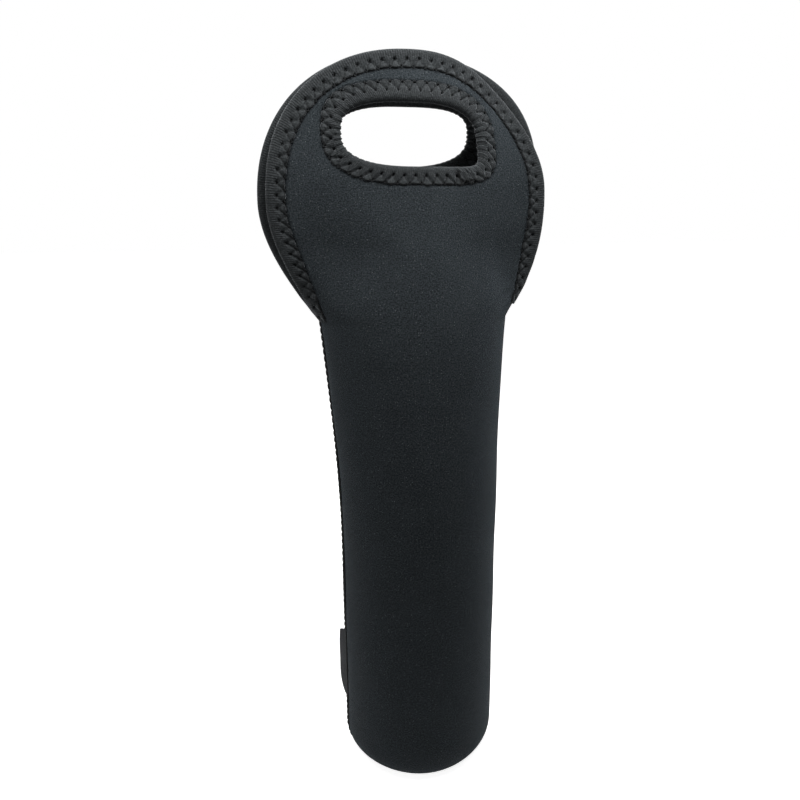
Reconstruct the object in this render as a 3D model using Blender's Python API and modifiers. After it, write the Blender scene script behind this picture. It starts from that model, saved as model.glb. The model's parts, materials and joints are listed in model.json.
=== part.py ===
"""Bottle cooler sleeve: a soft neoprene carrier for one wine bottle.

Two die-cut neoprene panels, front and back, are joined by one flat seam that runs down the left side,
under the base and up the right side. Above the mouth each panel goes on as a free round head with a hand
hole. A stretch tape is folded over the rim of each head and of each hole and held by a row of zigzag
stitches. A folded label is caught in the left seam. Each head is a piece of its own here, parted from its
panel at the fold line by a thin gap, so that it can turn on a hinge where the real sheet bends.

Units are metres, +Z is up, the front faces -Y, and the base rests on Z = 0. Sizes of the sheet are measured
on the middle of its thickness.
"""

import math

import bmesh
import bpy
from mathutils import Matrix, Vector

# Clearance between pieces that touch on the real object
GAP = 0.0003

# Sleeve
WALL = 0.0035
BOTTLE_RADIUS = 0.037
SLEEVE_RADIUS = BOTTLE_RADIUS + WALL / 2
MOUTH_HEIGHT = 0.243
MOUTH_FLARE = 0.0056  # each side moves out by this at the mouth, where the tube is pressed flatter
FLARE_START = 0.11
FLARE_POWER = 2.3
BASE_SIDE_RADIUS = 0.013
BASE_FRONT_RUN = 0.0096
BASE_FRONT_RISE = 0.0215
SLEEVE_SWAY = 0.0023  # the soft top leans to the left
SWAY_START = 0.13

# Heads. Each one's rise and its hole's rise are measured from its widest height
LOWER_HEAD = 0.053  # from the mouth to the widest height
HEAD_WIDEST = MOUTH_HEIGHT + LOWER_HEAD
CORNER_SHARE = 0.12  # of the rise, where each head's right corner starts to lean and shift
NECK_RADIUS = 0.0156
LOWER_ROUNDNESS = 1.85  # exponent of the outline below the widest height, where 2 is an ellipse
CROWN_POWER = 2.5  # how closely the sheet hugs the bottle's neck
EDGE_POWER = 2.5
HOLD_POWER = 4.0  # how near to its edge the outline draws the sheet
HOLE_HALF_WIDTH = 0.0317
HOLE_HALF_HEIGHT = 0.0135
HOLE_ROUNDNESS = 2.5
HOLE_CORNER_ROUNDNESS = 4.5  # at the lower corner where the tape's ends overlap

# Rim tape and its stitches
TAPE = 0.0009
HEAD_TAPE_WIDTH = 0.009
HOLE_TAPE_WIDTH = 0.0085
TAPE_START = 0.004  # above the mouth
THREAD = 0.0004
ZIGZAG_WIDTH = 0.004
TAPE_CLEARANCE = 0.0004  # round the rim, where the sheet bends and twists

# Flat seam
SEAM_WIDTH = 0.006
SEAM_THREAD = 0.0006
SEAM_OPENING = 0.0005  # between the two panels' edges
SEAM_END = 0.002  # below the mouth

# Label
LABEL_LENGTH = 0.038
LABEL_REACH = 0.0075
LABEL_THICKNESS = 0.0008
LABEL_BOTTOM = 0.036
LABEL_TAPER = 0.012
LABEL_LEAN_DEG = 86.0  # turned back, towards the back panel

# Size of the cutters past what they cut
OVERRUN = 0.05

# Mesh density
FIELD_STEPS = 12  # across a panel between its two rim strips
SIDE_STEPS = 8  # from the tape's start to the widest height
ARC_STEPS = 20  # over the top of the head
RING_STEPS = 6  # from the rim strip to the hole's strip
WALL_STEPS = 7
CORNER_STEPS = 5
FLOOR_STEPS = 2
SEAM_CORNER_STEPS = 6

FRONT = {
    "name": "front",
    "side": -1.0,
    "half_width": 0.0653,
    "rise": 0.0649,
    "roundness": 2.26,
    "sway": 0.0036,
    "hole_rise": 0.0293,
    "edge": 0.0102,
    "top_edge": 0.0036,
    "top_crown": 0.009,
    "corner_lean": 0.006,
    "corner_pull": 0.0075,
}
BACK = {
    "name": "back",
    "side": 1.0,
    "half_width": 0.069,
    "rise": 0.0663,
    "roundness": 2.2,
    "sway": 0.0027,
    "hole_rise": 0.0302,
    "edge": 0.0098,
    "top_edge": 0.005,
    "top_crown": 0.0075,
    "corner_lean": 0.0,
    "corner_pull": -0.003,
}


def smooth(t):
    """From 0 at t = 0 to 1 at t = 1, level at both ends and beyond them."""
    t = min(max(t, 0.0), 1.0)
    return t * t * (3 - 2 * t)


def bridge(a, b, slope, length, t):
    """A smooth path from a, which it leaves at this slope, to b, which it meets level."""
    t = min(max(t, 0.0), 1.0)
    leave = (2 * t**3 - 3 * t**2 + 1) * a + (t**3 - 2 * t**2 + t) * length * slope
    return leave + (3 * t**2 - 2 * t**3) * b


# The sleeve's section is an ellipse at each height


def flare(z):
    share = max(z - FLARE_START, 0.0) / (MOUTH_HEIGHT - FLARE_START)
    return MOUTH_FLARE * share**FLARE_POWER


def corner_drop(z, rise):
    """How far a quarter ellipse of this rise has drawn in at a height, as a share of its run."""
    share = max(1 - (z - WALL / 2) / rise, 0.0)
    return 1 - math.sqrt(1 - share**2)


def sleeve_half_width(z):
    return SLEEVE_RADIUS + flare(z) - BASE_SIDE_RADIUS * corner_drop(z, BASE_SIDE_RADIUS)


def sleeve_half_depth(z):
    """The girth stays the same, so a wider tube is a shallower one."""
    wide = SLEEVE_RADIUS + flare(z)
    return math.sqrt(2 * SLEEVE_RADIUS**2 - wide**2) - BASE_FRONT_RUN * corner_drop(z, BASE_FRONT_RISE)


FLAT_HALF_WIDTH = math.pi / 2 * SLEEVE_RADIUS  # of the cut panel, along the sleeve
MOUTH_HALF_WIDTH = sleeve_half_width(MOUTH_HEIGHT)
MOUTH_HALF_DEPTH = sleeve_half_depth(MOUTH_HEIGHT)
WIDTH_SLOPE = MOUTH_FLARE * FLARE_POWER / (MOUTH_HEIGHT - FLARE_START)
DEPTH_SLOPE = -WIDTH_SLOPE * MOUTH_HALF_WIDTH / MOUTH_HALF_DEPTH


def flat_half_width(panel, z):
    """Half of the panel's cut width, from the mouth to the widest height."""
    return FLAT_HALF_WIDTH + (panel["half_width"] - FLAT_HALF_WIDTH) * smooth((z - MOUTH_HEIGHT) / LOWER_HEAD)


def outline_half_width(panel, z):
    """The head's outline seen from the front: it starts at the notch, on the sleeve's side."""
    half_width = panel["half_width"]
    notch = (1 - (MOUTH_HALF_WIDTH / half_width) ** LOWER_ROUNDNESS) ** (1 / LOWER_ROUNDNESS)
    share = notch * min(max((HEAD_WIDEST - z) / LOWER_HEAD, 0.0), 1.0)
    return half_width * (1 - share**LOWER_ROUNDNESS) ** (1 / LOWER_ROUNDNESS)


def sway(panel, z):
    low = SLEEVE_SWAY * smooth((z - SWAY_START) / (MOUTH_HEIGHT - SWAY_START))
    return low + panel["sway"] * smooth((z - MOUTH_HEIGHT) / LOWER_HEAD)


def head_across(panel, q, z):
    """How far a point of the head is from the middle line: an arc at the mouth that opens flat above it."""
    rise = (z - MOUTH_HEIGHT) / LOWER_HEAD
    flat = smooth(rise)
    wide = bridge(MOUTH_HALF_WIDTH, panel["half_width"], WIDTH_SLOPE, LOWER_HEAD, rise)
    hold = math.copysign(abs(q) ** HOLD_POWER, q)
    across = wide * ((1 - flat) * math.sin(math.pi / 2 * q) + flat * q)
    return across + (outline_half_width(panel, z) - wide) * hold


def head_depth(panel, q, z):
    """How far the head stands off the middle plane: bowed over the bottle's neck, closer at its edge."""
    rise = (z - MOUTH_HEIGHT) / LOWER_HEAD
    flat = smooth(rise)
    hug = LOWER_HEAD + panel["hole_rise"]
    neck = NECK_RADIUS + WALL / 2
    crown = bridge(MOUTH_HALF_DEPTH, neck, DEPTH_SLOPE, hug, (z - MOUTH_HEIGHT) / hug)
    above_hole = (z - MOUTH_HEIGHT - hug) / (panel["rise"] - panel["hole_rise"])
    crown += (panel["top_crown"] - neck) * smooth(above_hole)
    edge = panel["edge"] * (1 - (1 - min(rise, 1.0)) ** EDGE_POWER)
    edge += (panel["top_edge"] - panel["edge"]) * smooth((z - HEAD_WIDEST) / panel["rise"])
    round_bow = math.cos(math.pi / 2 * q)
    bow = (1 - flat) * round_bow + flat * max(round_bow, 0.0) ** CROWN_POWER
    return edge + (crown - edge) * bow


def sheet_point(panel, q, z):
    """The middle of the sheet. q runs from -1 at the left edge of the cut panel to 1 at its right edge."""
    side = panel["side"]
    if z <= MOUTH_HEIGHT:
        x = sleeve_half_width(z) * math.sin(math.pi / 2 * q)
        y = sleeve_half_depth(z) * math.cos(math.pi / 2 * q)
    else:
        above = (z - HEAD_WIDEST) / panel["rise"]
        corner = smooth(q) * smooth((above - CORNER_SHARE) / (1 - CORNER_SHARE))
        x = head_across(panel, q, z) - panel["corner_pull"] * corner
        y = head_depth(panel, q, z) - panel["corner_lean"] * corner
    return Vector((x - sway(panel, z), side * (y + SEAM_OPENING / 2), z))


def sheet_normal(panel, q, z):
    """The unit normal that points out of the carrier, from two short chords."""
    share = 0.001
    step = share * SLEEVE_RADIUS
    across = sheet_point(panel, q + share, z) - sheet_point(panel, q - share, z)
    up = sheet_point(panel, q, z + step) - sheet_point(panel, q, z - step)
    return across.cross(up).normalized() * -panel["side"]


# Lines along the sheet, each a list of q and z


def head_line(panel, inset, edge_inset=None):
    """A line beside the head's rim: up from the left notch, over the top and down to the right notch."""
    start = MOUTH_HEIGHT + TAPE_START
    climb = [start + (HEAD_WIDEST - start) * i / SIDE_STEPS for i in range(SIDE_STEPS)]
    left = [(-1 + (inset if edge_inset is None else edge_inset) / FLAT_HALF_WIDTH, MOUTH_HEIGHT)]
    left += [(-1 + inset / flat_half_width(panel, z), z) for z in climb]
    over = []
    power = panel["roundness"]
    for i in range(ARC_STEPS + 1):
        turn = math.pi * (1 - i / ARC_STEPS)
        cos, sin = math.cos(turn), math.sin(turn)
        reach = (abs(cos) ** power + abs(sin) ** power) ** (-1 / power)
        z = HEAD_WIDEST + reach * sin * (panel["rise"] - inset)
        over.append((reach * cos * (1 - inset / panel["half_width"]), z))
    return left + over + [(-q, z) for q, z in reversed(left)]


def hole_point(panel, turn, inset):
    """A point beside the hand hole, moved out from its clear edge by inset."""
    cos, sin = math.cos(turn), math.sin(turn)
    power = HOLE_CORNER_ROUNDNESS if sin < 0 and -cos * panel["side"] > 0 else HOLE_ROUNDNESS
    reach = (abs(cos) ** power + abs(sin) ** power) ** (-1 / power)
    q = reach * cos * (HOLE_HALF_WIDTH + inset) / panel["half_width"]
    return q, HEAD_WIDEST + panel["hole_rise"] + reach * sin * (HOLE_HALF_HEIGHT + inset)


def mouth_columns():
    """q at the mouth and below it: the two rim strips, and the field between them."""
    strip = [-1 + inset / FLAT_HALF_WIDTH for inset in (0.0, HEAD_TAPE_WIDTH / 2, HEAD_TAPE_WIDTH)]
    field = [strip[-1] * (1 - 2 * i / FIELD_STEPS) for i in range(1, FIELD_STEPS)]
    return strip + field + [-q for q in reversed(strip)]


def field_loop(panel):
    """The edge of the head's field, once round: beside the rim tape, then back along the mouth."""
    mouth = [(q, MOUTH_HEIGHT) for q in mouth_columns()[3:-3]]
    return head_line(panel, HEAD_TAPE_WIDTH) + mouth[::-1]


def hole_turns(panel):
    """The angle at which each point of the field's edge faces the hand hole."""
    squash = math.sqrt(HOLE_HALF_HEIGHT / HOLE_HALF_WIDTH)
    turns = []
    for q, z in field_loop(panel):
        turns.append(math.atan2(z - HEAD_WIDEST - panel["hole_rise"], q * panel["half_width"] * squash))
    return turns


def hole_line(panel, inset):
    return [hole_point(panel, turn, inset) for turn in hole_turns(panel)]


# Mesh helpers


def add_face(bm, corners):
    """Splits a quad from its lowest, outermost corner, so that pieces that lie on each other bend alike."""
    corners = list(dict.fromkeys(corners))
    start = min(range(len(corners)), key=lambda i: corners[i].co.z - abs(corners[i].co.x))
    a, *others = corners[start:] + corners[:start]
    for b, c in zip(others, others[1:]):
        bm.faces.new((a, b, c))


def grid_faces(bm, rows, closed=False):
    """Faces between neighbouring rows of vertices. Rows may share an end vertex."""
    for low, high in zip(rows, rows[1:]):
        count = len(low)
        for i in range(count if closed else count - 1):
            j = (i + 1) % count
            add_face(bm, (low[i], low[j], high[j], high[i]))


def add_object(name, bm, material, collection):
    bmesh.ops.recalc_face_normals(bm, faces=bm.faces)
    mesh = bpy.data.meshes.new(name)
    bm.to_mesh(mesh)
    bm.free()
    made = bpy.data.objects.new(name, mesh)
    if material:
        mesh.materials.append(material)
    collection.objects.link(made)
    return made


def add_cutter(name, bm):
    cutter = add_object(name, bm, None, cutters)
    cutter.hide_render = True
    cutter.display_type = "WIRE"
    return cutter


def cut(made, cutter):
    boolean = made.modifiers.new(cutter.name, "BOOLEAN")
    boolean.operation = "DIFFERENCE"
    boolean.solver = "EXACT"
    boolean.object = cutter


def new_material(name, colour, roughness):
    material = bpy.data.materials.new(name)
    material.use_nodes = True
    shader = material.node_tree.nodes["Principled BSDF"]
    shader.inputs["Base Color"].default_value = (*colour, 1.0)
    shader.inputs["Roughness"].default_value = roughness
    shader.inputs["Metallic"].default_value = 0.0
    return material


# Pieces


def panel_surface(panel):
    """One cut panel as an open surface, from the base seam up to the rim of the head."""
    bm = bmesh.new()

    def place(line):
        return [bm.verts.new(sheet_point(panel, q, z)) for q, z in line]

    edge = place(head_line(panel, TAPE + GAP, edge_inset=0.0))
    middle = place(head_line(panel, HEAD_TAPE_WIDTH / 2))
    loop = place(field_loop(panel))
    inner = loop[: len(edge)]
    grid_faces(bm, [edge, middle, inner])

    # The field of the head, in rings from its edge to the hole
    rings = [loop]
    outside = field_loop(panel)
    inside = hole_line(panel, HOLE_TAPE_WIDTH)
    for step in range(1, RING_STEPS):
        share = step / RING_STEPS
        between = [(a + (c - a) * share, b + (d - b) * share) for (a, b), (c, d) in zip(outside, inside)]
        rings.append(place(between))
    for inset in (HOLE_TAPE_WIDTH, TAPE + GAP):
        rings.append(place(hole_line(panel, inset)))
    grid_faces(bm, rings, closed=True)

    # The sleeve, down its wall and round the base's corner
    columns = mouth_columns()
    mouth = [edge[0], middle[0], inner[0], *loop[len(edge) :][::-1], inner[-1], middle[-1], edge[-1]]
    corner_top = BASE_FRONT_RISE + WALL / 2
    heights = [MOUTH_HEIGHT + (corner_top - MOUTH_HEIGHT) * i / WALL_STEPS for i in range(1, WALL_STEPS)]
    for i in range(CORNER_STEPS + 1):
        heights.append(corner_top - BASE_FRONT_RISE * math.sin(math.pi / 2 * i / CORNER_STEPS))
    rows = [mouth] + [place([(q, z) for q in columns]) for z in heights]

    # The flat base, in to the seam
    seam = panel["side"] * SEAM_OPENING / 2
    outer = rows[-1]
    for i in range(1, FLOOR_STEPS + 1):
        left = 1 - i / FLOOR_STEPS
        inside = [bm.verts.new((v.co.x, seam + (v.co.y - seam) * left, v.co.z)) for v in outer[1:-1]]
        rows.append([outer[0], *inside, outer[-1]])
    grid_faces(bm, rows)
    return bm


def add_panel(name, panel, material, *cutting):
    made = add_object(name, panel_surface(panel), material, parts)
    solidify = made.modifiers.new("Thickness", "SOLIDIFY")
    solidify.thickness = WALL
    solidify.offset = 0.0
    for cutter in cutting:
        cut(made, cutter)
    return made


def add_tape(name, panel, line, width, closed, material):
    """A tape folded over an edge of the sheet: two arms, joined round the edge."""
    half = WALL / 2 + TAPE_CLEARANCE
    full = half + TAPE
    arm = [width] if closed else [width, width / 2]
    shell = [*((inset, full) for inset in arm), (TAPE + GAP, full), (0.0, full / 2)]
    shell += [(inset, -height) for inset, height in reversed(shell)]
    slot = [*((inset, half) for inset in arm), (TAPE, half)]
    slot += [(inset, -height) for inset, height in reversed(slot)]
    profile = shell + slot[::-1]
    lines = {inset: line(panel, inset) for inset, _ in profile}
    count = len(lines[width])
    first, last = (0, count) if closed else (1, count - 1)
    bm = bmesh.new()
    sections = []
    for i in range(first, last):
        section = []
        for inset, height in profile:
            q, z = lines[inset][i]
            section.append(bm.verts.new(sheet_point(panel, q, z) + sheet_normal(panel, q, z) * height))
        sections.append(section)
    if closed:
        sections.append(sections[0])
    else:
        cap_tape(bm, sections[0])
        cap_tape(bm, sections[-1])
    grid_faces(bm, sections, closed=True)
    return add_object(name, bm, material, parts)


def cap_tape(bm, section):
    """Closes a folded tape's end between its outer shell of 8 points and its slot of 6."""
    shell = section[:8]
    slot = section[8:][::-1]
    partner = [0, 1, 2, 2, 3, 3, 4, 5]
    for i in range(len(shell) - 1):
        a, b = slot[partner[i]], slot[partner[i + 1]]
        bm.faces.new([shell[i], shell[i + 1], b] if a is b else [shell[i], shell[i + 1], b, a])


def add_stitches(name, panel, line, width, closed, material):
    """The band that a row of zigzag stitches covers, on the inner half of the tape's outer face."""
    low = WALL / 2 + TAPE_CLEARANCE + TAPE + GAP
    near, far = line(panel, width / 2), line(panel, width / 2 + ZIGZAG_WIDTH)
    bm = bmesh.new()
    sections = []
    span = range(len(near)) if closed else range(1, len(near) - 1)
    for i in span:
        section = []
        high = low + THREAD
        for (q, z), height in ((near[i], low), (far[i], low), (far[i], high), (near[i], high)):
            section.append(bm.verts.new(sheet_point(panel, q, z) + sheet_normal(panel, q, z) * height))
        sections.append(section)
    if closed:
        sections.append(sections[0])
    else:
        bm.faces.new(sections[0])
        bm.faces.new(sections[-1])
    grid_faces(bm, sections, closed=True)
    return add_object(name, bm, material, parts)


def seam_path():
    """The seam from the left notch to the right one, as x, z and the direction out of the sleeve."""
    heights = [MOUTH_HEIGHT - SEAM_END]
    corner_top = BASE_SIDE_RADIUS + WALL / 2
    steps = 2 * WALL_STEPS
    heights += [MOUTH_HEIGHT + (corner_top - MOUTH_HEIGHT) * i / steps for i in range(1, steps)]
    for i in range(SEAM_CORNER_STEPS + 1):
        heights.append(corner_top - BASE_SIDE_RADIUS * math.sin(math.pi / 2 * i / SEAM_CORNER_STEPS))
    left = [Vector((-sleeve_half_width(z) - sway(FRONT, z), z)) for z in heights]
    right = [Vector((sleeve_half_width(z) - sway(FRONT, z), z)) for z in reversed(heights)]
    points = left + right
    path = []
    for i, point in enumerate(points):
        along = points[min(i + 1, len(points) - 1)] - points[max(i - 1, 0)]
        if i in (len(left) - 1, len(left)):
            along = points[len(left)] - points[len(left) - 1]
        out = Vector((along.y, -along.x)).normalized()
        path.append((point, out))
    return path


def seam_band(low, high, half_width, overrun=0.0):
    """A band along the seam between two heights above the middle of the sheet."""
    bm = bmesh.new()
    sections = []
    path = seam_path()
    for i, (point, out) in enumerate(path):
        extra = overrun if i in (0, len(path) - 1) else 0.0
        section = []
        for y, height in ((-half_width, low), (half_width, low), (half_width, high), (-half_width, high)):
            place = point + out * height
            section.append(bm.verts.new((place.x, y, place.y + extra)))
        sections.append(section)
    bm.faces.new(sections[0])
    bm.faces.new(sections[-1])
    grid_faces(bm, sections, closed=True)
    return bm


def add_seam(material):
    outer = WALL / 2
    band = seam_band(outer - SEAM_THREAD, outer, SEAM_WIDTH / 2)
    return add_object("seam_stitching", band, material, parts)


def seam_groove():
    outer = WALL / 2
    bm = seam_band(outer - SEAM_THREAD - GAP, outer + SEAM_WIDTH, SEAM_WIDTH / 2 + GAP, GAP)
    return add_cutter("seam_groove", bm)


def fold_cutter(name, low, high):
    """A wide box between two heights."""
    bm = bmesh.new()
    bmesh.ops.create_cube(bm, size=2.0)
    reach = max(FRONT["half_width"], BACK["half_width"]) + OVERRUN
    for vert in bm.verts:
        vert.co = (vert.co.x * reach, vert.co.y * reach, low if vert.co.z < 0 else high)
    return add_cutter(name, bm)


def add_hinge(name, place):
    empty = bpy.data.objects.new(name, None)
    empty.location = place
    empty.empty_display_size = SLEEVE_RADIUS
    parts.objects.link(empty)
    return empty


def add_head(panel, materials, below):
    """The head of a panel with its two tapes and their stitches, on a hinge along the fold."""
    name = panel["name"]
    sheet, tape, thread = materials
    depth = MOUTH_HALF_DEPTH + SEAM_OPENING / 2 + WALL / 2
    hinge = add_hinge(f"{name}_handle_hinge", (0.0, panel["side"] * depth, MOUTH_HEIGHT))
    pieces = [
        add_panel(f"{name}_handle_panel", panel, sheet, below),
        add_tape(f"{name}_head_binding", panel, head_line, HEAD_TAPE_WIDTH, False, tape),
        add_tape(f"{name}_hole_binding", panel, hole_line, HOLE_TAPE_WIDTH, True, tape),
        add_stitches(f"{name}_head_stitching", panel, head_line, HEAD_TAPE_WIDTH, False, thread),
        add_stitches(f"{name}_hole_stitching", panel, hole_line, HOLE_TAPE_WIDTH, True, thread),
    ]
    for piece in pieces:
        piece.parent = hinge
        piece.matrix_parent_inverse = Matrix.Translation(-hinge.location)


def add_label(material):
    """A folded tape that stands out of the left seam, turned back. Its lower corner runs in to the seam."""
    outline = [
        (0.0, 0.0),
        (LABEL_REACH, LABEL_TAPER),
        (LABEL_REACH, LABEL_LENGTH),
        (0.0, LABEL_LENGTH),
    ]
    curve = bpy.data.curves.new("side_label", "CURVE")
    curve.dimensions = "2D"
    curve.fill_mode = "BOTH"
    curve.extrude = LABEL_THICKNESS / 2
    spline = curve.splines.new("POLY")
    spline.points.add(len(outline) - 1)
    for point, (reach, height) in zip(spline.points, outline):
        point.co = (-reach, height, 0.0, 1.0)
    spline.use_cyclic_u = True
    curve.materials.append(material)
    label = bpy.data.objects.new("side_label", curve)
    stand_off = sleeve_half_width(LABEL_BOTTOM) + WALL / 2 + GAP + LABEL_THICKNESS / 2
    label.location = (-stand_off, 0.0, LABEL_BOTTOM)
    label.rotation_euler = (math.pi / 2, 0.0, -math.radians(LABEL_LEAN_DEG))
    parts.objects.link(label)


for old in list(bpy.data.objects):
    bpy.data.objects.remove(old)
parts = bpy.data.collections.new("bottle_cooler_sleeve")
cutters = bpy.data.collections.new("cutters")
bpy.context.scene.collection.children.link(parts)
bpy.context.scene.collection.children.link(cutters)

neoprene = new_material("Black neoprene", (0.016, 0.018, 0.019), 0.85)
tape_knit = new_material("Stretch tape", (0.021, 0.022, 0.023), 0.8)
sewing_thread = new_material("Sewing thread", (0.014, 0.015, 0.016), 0.6)
satin = new_material("Satin label", (0.03, 0.03, 0.032), 0.45)

groove = seam_groove()
highest = HEAD_WIDEST + max(FRONT["rise"], BACK["rise"])
above_fold = fold_cutter("above_fold", MOUTH_HEIGHT - GAP / 2, highest + OVERRUN)
below_fold = fold_cutter("below_fold", -OVERRUN, MOUTH_HEIGHT + GAP / 2)

for panel in (FRONT, BACK):
    add_panel(f"{panel['name']}_sleeve_panel", panel, neoprene, above_fold, groove)
    add_head(panel, (neoprene, tape_knit, sewing_thread), below_fold)
add_seam(sewing_thread)
add_label(satin)
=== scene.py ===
# %% [markdown]
# # A neoprene bottle sleeve
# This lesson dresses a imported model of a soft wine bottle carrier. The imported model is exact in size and
# place but plain: its sheets are a few facets and its stitches are smooth bands. We keep its sizes and
# bodies, and give every soft piece the puckers, thread and knit of the real thing.
#
# Everything is in metres, +Z is up and the front faces -Y.

import json
import math
from math import pi, tau
from types import SimpleNamespace

import bpy
import numpy as np
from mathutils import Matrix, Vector


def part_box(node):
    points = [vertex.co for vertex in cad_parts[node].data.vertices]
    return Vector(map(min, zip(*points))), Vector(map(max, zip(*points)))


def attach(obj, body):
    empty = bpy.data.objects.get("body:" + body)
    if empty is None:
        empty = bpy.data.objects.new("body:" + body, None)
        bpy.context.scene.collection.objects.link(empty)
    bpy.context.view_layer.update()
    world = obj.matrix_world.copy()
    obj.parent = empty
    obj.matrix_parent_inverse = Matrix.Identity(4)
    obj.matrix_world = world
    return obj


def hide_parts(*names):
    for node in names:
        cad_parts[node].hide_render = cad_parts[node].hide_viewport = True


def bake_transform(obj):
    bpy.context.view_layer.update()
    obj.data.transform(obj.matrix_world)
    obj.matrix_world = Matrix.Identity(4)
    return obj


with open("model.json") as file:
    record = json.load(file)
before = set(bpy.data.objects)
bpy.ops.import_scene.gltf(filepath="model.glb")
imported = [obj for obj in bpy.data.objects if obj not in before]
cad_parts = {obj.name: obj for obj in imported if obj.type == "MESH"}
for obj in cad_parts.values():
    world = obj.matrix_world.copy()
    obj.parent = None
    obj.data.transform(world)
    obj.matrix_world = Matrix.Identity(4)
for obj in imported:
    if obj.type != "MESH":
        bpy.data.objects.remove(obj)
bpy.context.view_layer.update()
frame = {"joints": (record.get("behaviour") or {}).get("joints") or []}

# %% [markdown]
# The photograph was taken from a little to the left of the front and from just under the carrier's top,
# looking down by 15.5 degrees, from close by. A short distance makes the head look large and the base
# small, so the distance matters as much as the angle.

# %% Camera
CAMERA_TURN_DEG = 14.0  # to the left of the front
CAMERA_DISTANCE = 0.3626
CAMERA_HEIGHT = 0.3002
CAMERA_PITCH_DEG = 15.52
CAMERA_LENS_MM = 33.44
CAMERA_SENSOR_MM = 36.0
CAMERA_SHIFT = -0.0229
CAMERA_NEAREST = 0.01


def add_object(name, data):
    made = bpy.data.objects.new(name, data)
    bpy.context.scene.collection.objects.link(made)
    return made


def look_along(made, direction):
    """Turn a camera or a lamp so that it looks in this direction."""
    made.rotation_euler = direction.to_track_quat("-Z", "Y").to_euler()


turn = math.radians(CAMERA_TURN_DEG)
pitch = math.radians(CAMERA_PITCH_DEG)
towards = Vector((math.sin(turn) * math.cos(pitch), math.cos(turn) * math.cos(pitch), -math.sin(pitch)))
camera_data = bpy.data.cameras.new("camera")
camera_data.lens = CAMERA_LENS_MM
camera_data.sensor_width = CAMERA_SENSOR_MM
camera_data.shift_x = CAMERA_SHIFT
camera_data.clip_start = CAMERA_NEAREST
camera = add_object("camera", camera_data)
camera.location = (-CAMERA_DISTANCE * math.sin(turn), -CAMERA_DISTANCE * math.cos(turn), CAMERA_HEIGHT)
look_along(camera, towards)
bpy.context.scene.camera = camera

# %% [markdown]
# The real carrier is two flat cuts of neoprene. Both wrap half of the bottle, meet in one seam down the
# sides and under the base, and go on above the mouth as free round heads. So each one is described as a map
# from the flat cut to space: q runs across the cut from -1 at its left edge to 1 at its right, and z is the
# height. Anything sewn to the cloth, such as tape and thread, is placed on the cut and lands on the shaped
# cloth by itself.
#
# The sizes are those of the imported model, apart from a few that shape soft detail. What the model can tell,
# such as the mouth's height, is read from it.

# %% Sizes of the cloth
MOUTH_HEIGHT = frame["joints"][0]["pos_m"][2]
WALL = 0.0035
BOTTLE_RADIUS = 0.037
SLEEVE_RADIUS = BOTTLE_RADIUS + WALL / 2
MOUTH_FLARE = 0.0056
FLARE_START = 0.11
FLARE_POWER = 2.3
BASE_SIDE_RADIUS = 0.013
BASE_FRONT_RUN = 0.0096
BASE_FRONT_RISE = 0.0215
SLEEVE_SWAY = 0.0023
SWAY_START = 0.13

LOWER_HEAD = 0.053
HEAD_WIDEST = MOUTH_HEIGHT + LOWER_HEAD
FLATTENED = 0.68  # share of the lower head in which the round tube turns into a flat sheet
CORNER_SHARE = 0.12
NECK_RADIUS = 0.0156
LOWER_ROUNDNESS = 1.85
CROWN_POWER = 2.5
EDGE_POWER = 2.5
HOLD_POWER = 4.0
HOLE_HALF_WIDTH = 0.0317
HOLE_HALF_HEIGHT = 0.0135
HOLE_ROUNDNESS = 2.5
HOLE_CORNER_ROUNDNESS = 4.5
HOLE_CORNER_SHARPER = 4.5  # more of it at the clear edge than at the tape's outer edge
HOLE_HIGH_CORNER = 3.1  # at the corner across from it

# edge and top_edge are half of the gap between the heads at the rim, and top_crown the same at the middle of
# the top. tape_ends says how far above the mouth the head's tape starts, on the left and on the right.
PANEL_SIZES = {  # of the front panel and of the back one
    "name": ("front", "back"),
    "side": (-1.0, 1.0),
    "half_width": (0.0653, 0.069),
    "rise": (0.0649, 0.0663),
    "roundness": (2.26, 2.2),
    "sway": (0.0036, 0.0027),
    "hole_rise": (0.0293, 0.0302),
    "edge": (0.0102, 0.0098),
    "top_edge": (0.0036, 0.005),
    "top_crown": (0.009, 0.0075),
    "corner_lean": (0.006, 0.0),
    "corner_pull": (0.0075, -0.003),
    "tape_ends": ((0.0006, 0.006), (0.0006, 0.0006)),
}
FRONT, BACK = [SimpleNamespace(**dict(zip(PANEL_SIZES, sizes))) for sizes in zip(*PANEL_SIZES.values())]

# %% The map from the flat cut to space
def smooth(t):
    t = np.clip(t, 0, 1)
    return t * t * (3 - 2 * t)


def bell(t):
    """1 at t = 0, and next to nothing beyond 2."""
    return np.exp(-(t**2))


def arc(t, power=2):
    """The side of a round corner at height t, both from 0 to 1. A higher power makes it squarer."""
    return (1 - np.clip(t, 0, 1) ** power) ** (1 / power)


def xyz(*parts):
    """Arrays of x, y and z as one array of vectors. A smaller one is repeated."""
    return np.stack(np.broadcast_arrays(*parts), axis=-1)


def bridge(a, b, slope, length, t):
    """A smooth path from a, which it leaves at this slope, to b, which it meets level."""
    t = np.clip(t, 0, 1)
    leave = (2 * t**3 - 3 * t**2 + 1) * a + (t**3 - 2 * t**2 + t) * length * slope
    return leave + (3 * t**2 - 2 * t**3) * b


def corner_drop(z, rise):
    return 1 - arc(1 - (z - WALL / 2) / rise)


def tube_half_width(z):
    share = np.maximum(z - FLARE_START, 0.0) / (MOUTH_HEIGHT - FLARE_START)
    return SLEEVE_RADIUS + MOUTH_FLARE * share**FLARE_POWER


def sleeve_half_width(z):
    return tube_half_width(z) - BASE_SIDE_RADIUS * corner_drop(z, BASE_SIDE_RADIUS)


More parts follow.
